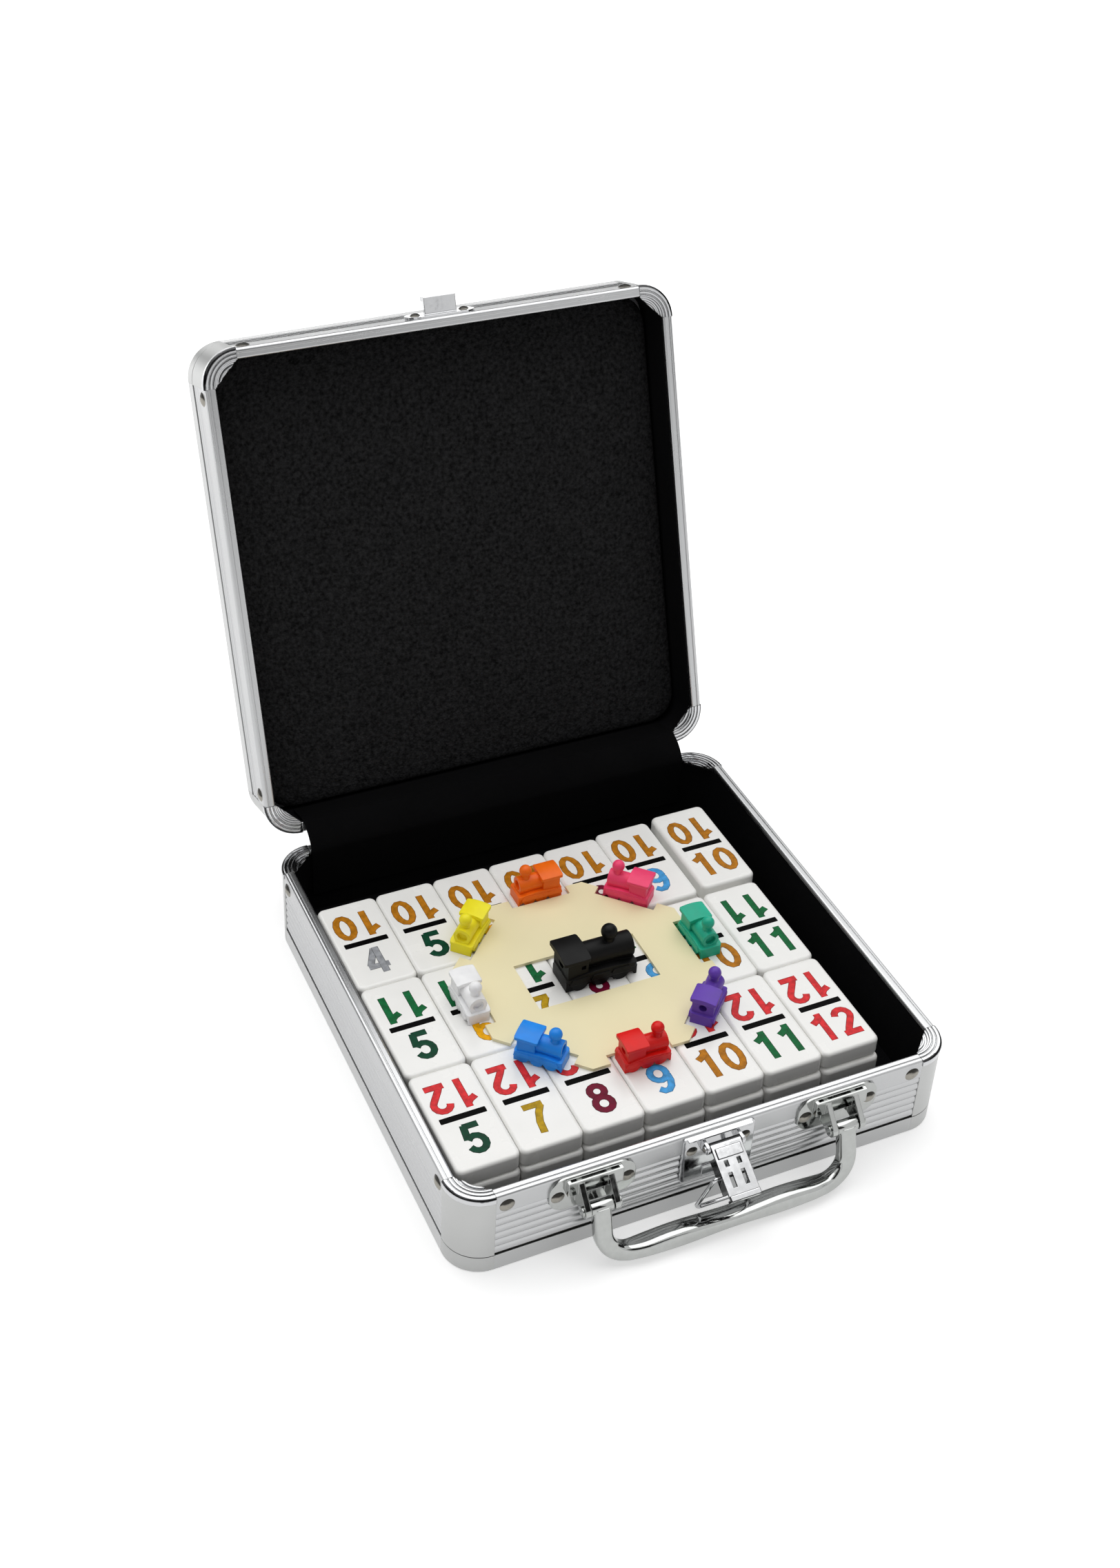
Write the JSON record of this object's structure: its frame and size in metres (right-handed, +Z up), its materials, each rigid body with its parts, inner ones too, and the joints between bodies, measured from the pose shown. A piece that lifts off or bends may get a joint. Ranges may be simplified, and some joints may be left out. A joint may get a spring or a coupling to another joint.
{
  "type": "mexican train domino set in a case",
  "caption": "Square aluminium case with folding handle and toggle latch, open, holding layers of numbered dominoes, an octagonal hub plate and toy locomotive markers.",
  "frame": {"origin": "centre of the underside of the case base, on the surface it stands on", "axes": "+Z up; the front with latch and handle faces -Y; the lid hinges along X at +Y; +X is the right side seen from the front"},
  "size_m": [0.2094, 0.3275, 0.2447],
  "materials": {
    "aluminium_frame": "satin anodised",
    "aluminium_ribbed": "satin, horizontally ribbed",
    "aluminium_post": "matt silver",
    "chrome": "bright plated",
    "rivet_steel": "plain",
    "hinge_steel": "plain",
    "fibreboard": "raw board",
    "corner_plastic": "matt black",
    "case_panel": "fine grained black",
    "lid_sheet": "satin sheet",
    "black_lining": "flat black",
    "foam": "fine open foam",
    "hinge_fabric": "woven black",
    "tile_ivory": "polished, slightly warm white",
    "hub_cream": "cream, satin",
    "train_orange": "gloss",
    "train_pink": "gloss",
    "train_teal": "gloss",
    "train_purple": "gloss",
    "train_red": "gloss",
    "train_blue": "gloss",
    "train_white": "gloss",
    "train_yellow": "gloss",
    "train_black": "satin"
  },
  "bodies": {
    "base": {"base_bands": "aluminium_frame", "base_boards": "fibreboard", "base_caps": "chrome", "base_corner_blocks": "corner_plastic", "base_feet": "aluminium_post", "base_floor_lining": "black_lining", "base_hinge_leaves": "hinge_steel", "base_hinge_rivets": "rivet_steel", "base_lining": "black_lining", "base_panel": "case_panel", "base_posts": "aluminium_post", "base_rails": "aluminium_frame", "base_rivets": "rivet_steel", "base_skins": "aluminium_ribbed", "handle_bracket_rivets": "rivet_steel", "handle_brackets": "chrome", "handle_pins": "chrome", "hinge_cloth": "hinge_fabric", "hinge_pins": "hinge_steel", "latch_pin": "chrome", "latch_plate": "chrome", "latch_rivets": "rivet_steel"},
    "lid": {"keeper": "chrome", "keeper_rivets": "rivet_steel", "lid_bands": "aluminium_frame", "lid_boards": "fibreboard", "lid_caps": "chrome", "lid_corner_blocks": "corner_plastic", "lid_feet": "aluminium_post", "lid_foam_pad": "foam", "lid_hinge_leaves": "hinge_steel", "lid_hinge_rivets": "rivet_steel", "lid_lining": "black_lining", "lid_panel": "lid_sheet", "lid_posts": "aluminium_post", "lid_rails": "aluminium_frame", "lid_rivets": "rivet_steel", "lid_skins": "aluminium_ribbed"},
    "handle": {"carrying_handle": "chrome"},
    "latch_lever": {"latch_lever": "chrome"},
    "latch_loop": {"latch_loop": "chrome"},
    "tiles_layer_1": {"tiles_layer_1": "tile_ivory"},
    "tiles_layer_2": {"tiles_layer_2": "tile_ivory"},
    "tiles_layer_3": {"tiles_layer_3": "tile_ivory"},
    "tiles_layer_4": {"tiles_layer_4": "tile_ivory"},
    "hub": {"hub": "hub_cream"},
    "train_black": {"train_black": "train_black"},
    "train_blue": {"train_blue": "train_blue"},
    "train_orange": {"train_orange": "train_orange"},
    "train_pink": {"train_pink": "train_pink"},
    "train_purple": {"train_purple": "train_purple"},
    "train_red": {"train_red": "train_red"},
    "train_teal": {"train_teal": "train_teal"},
    "train_white": {"train_white": "train_white"},
    "train_yellow": {"train_yellow": "train_yellow"}
  },
  "joints": [
    {"name": "lid_swing", "type": "hinge", "parent": "base", "child": "lid", "pos_m": [0, 0.10695, 0.03905], "axis": [-1, 0, 0], "range_deg": [-108.77, 0], "deforming": ["lid_foam_pad", "hinge_cloth"]},
    {"name": "handle_swing", "type": "hinge", "parent": "base", "child": "handle", "pos_m": [0, -0.11175, 0.0265], "axis": [-1, 0, 0], "range_deg": [0, 95]},
    {"name": "lever_swing", "type": "hinge", "parent": "base", "child": "latch_lever", "pos_m": [0, -0.10875, 0.0345], "axis": [-1, 0, 0], "range_deg": [-54, 60]},
    {"name": "loop_swing", "type": "hinge", "parent": "latch_lever", "child": "latch_loop", "pos_m": [0, -0.11703, 0.02684], "axis": [-1, 0, 0], "range_deg": [-78, 70.2]},
    {"name": "tiles_layer_1_lift", "type": "slide", "parent": "base", "child": "tiles_layer_1", "axis": [0, 0, 1], "range_m": [0, 0.036]},
    {"name": "tiles_layer_2_lift", "type": "slide", "parent": "tiles_layer_1", "child": "tiles_layer_2", "axis": [0, 0, 1], "range_m": [0, 0.028]},
    {"name": "tiles_layer_3_lift", "type": "slide", "parent": "tiles_layer_2", "child": "tiles_layer_3", "axis": [0, 0, 1], "range_m": [0, 0.02]},
    {"name": "tiles_layer_4_lift", "type": "slide", "parent": "tiles_layer_3", "child": "tiles_layer_4", "axis": [0, 0, 1], "range_m": [0, 0.012]},
    {"name": "hub_lift", "type": "slide", "parent": "tiles_layer_4", "child": "hub", "axis": [0, 0, 1], "range_m": [0, 0.03]},
    {"name": "train_black_lift", "type": "slide", "parent": "tiles_layer_4", "child": "train_black", "axis": [0, 0, 1], "range_m": [0, 0.025]},
    {"name": "train_blue_lift", "type": "slide", "parent": "tiles_layer_4", "child": "train_blue", "axis": [0, 0, 1], "range_m": [0, 0.025]},
    {"name": "train_orange_lift", "type": "slide", "parent": "tiles_layer_4", "child": "train_orange", "axis": [0, 0, 1], "range_m": [0, 0.025]},
    {"name": "train_pink_lift", "type": "slide", "parent": "tiles_layer_4", "child": "train_pink", "axis": [0, 0, 1], "range_m": [0, 0.025]},
    {"name": "train_purple_lift", "type": "slide", "parent": "tiles_layer_4", "child": "train_purple", "axis": [0, 0, 1], "range_m": [0, 0.025]},
    {"name": "train_red_lift", "type": "slide", "parent": "tiles_layer_4", "child": "train_red", "axis": [0, 0, 1], "range_m": [0, 0.025]},
    {"name": "train_teal_lift", "type": "slide", "parent": "tiles_layer_4", "child": "train_teal", "axis": [0, 0, 1], "range_m": [0, 0.025]},
    {"name": "train_white_lift", "type": "slide", "parent": "tiles_layer_4", "child": "train_white", "axis": [0, 0, 1], "range_m": [0, 0.025]},
    {"name": "train_yellow_lift", "type": "slide", "parent": "tiles_layer_4", "child": "train_yellow", "axis": [0, 0, 1], "range_m": [0, 0.025]}
  ],
  "couplings": [
    {"joint": "loop_swing", "follows": "lever_swing", "ratio": -1.3}
  ]
}
